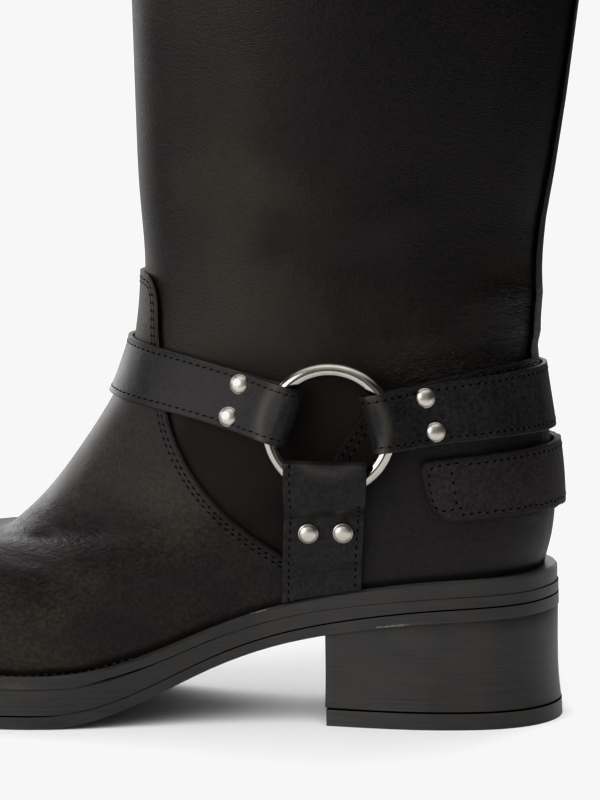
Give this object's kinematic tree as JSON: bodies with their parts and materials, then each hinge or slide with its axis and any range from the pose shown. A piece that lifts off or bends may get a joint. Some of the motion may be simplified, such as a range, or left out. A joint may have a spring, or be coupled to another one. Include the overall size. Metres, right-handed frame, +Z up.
{
  "type": "biker boot",
  "caption": "Left leather biker boot: hollow upper with a plain shaft, ring harness with riveted straps on both sides, welted rubber sole and block heel; takes a foot and stands upright.",
  "frame": {"origin": "middle of the boot's bounding box, on the floor that it stands on", "axes": "+Z up the shaft, -X towards the toe, -Y towards the outer side of the foot"},
  "size_m": [0.2805, 0.0986, 0.3122],
  "materials": {
    "upper_leather": "waxed black leather, satin",
    "strap_leather": "smooth black leather, satin",
    "sole_rubber": "black rubber, matt, stacked-leather look on the heel",
    "insole_lining": "brown leather lining, matt",
    "polished_nickel": "polished nickel"
  },
  "bodies": {
    "root": {"upper": "upper_leather", "vamp": "upper_leather", "counter_lateral": "upper_leather", "counter_medial": "upper_leather", "backstay": "upper_leather", "front_strap": "strap_leather", "rear_strap": "strap_leather", "lower_strap_lateral": "strap_leather", "lower_strap_medial": "strap_leather", "heel_tab": "strap_leather", "welt": "sole_rubber", "midsole": "sole_rubber", "outsole": "sole_rubber", "heel_block": "sole_rubber", "heel_top_lift": "sole_rubber", "insole": "insole_lining", "ring_lateral": "polished_nickel", "ring_medial": "polished_nickel", "rivet_front_lateral_upper": "polished_nickel", "rivet_front_lateral_lower": "polished_nickel", "rivet_front_medial_upper": "polished_nickel", "rivet_front_medial_lower": "polished_nickel", "rivet_rear_lateral_upper": "polished_nickel", "rivet_rear_lateral_lower": "polished_nickel", "rivet_rear_medial_upper": "polished_nickel", "rivet_rear_medial_lower": "polished_nickel", "rivet_lower_lateral_front": "polished_nickel", "rivet_lower_lateral_back": "polished_nickel", "rivet_lower_medial_front": "polished_nickel", "rivet_lower_medial_back": "polished_nickel"}
  },
  "joints": []
}
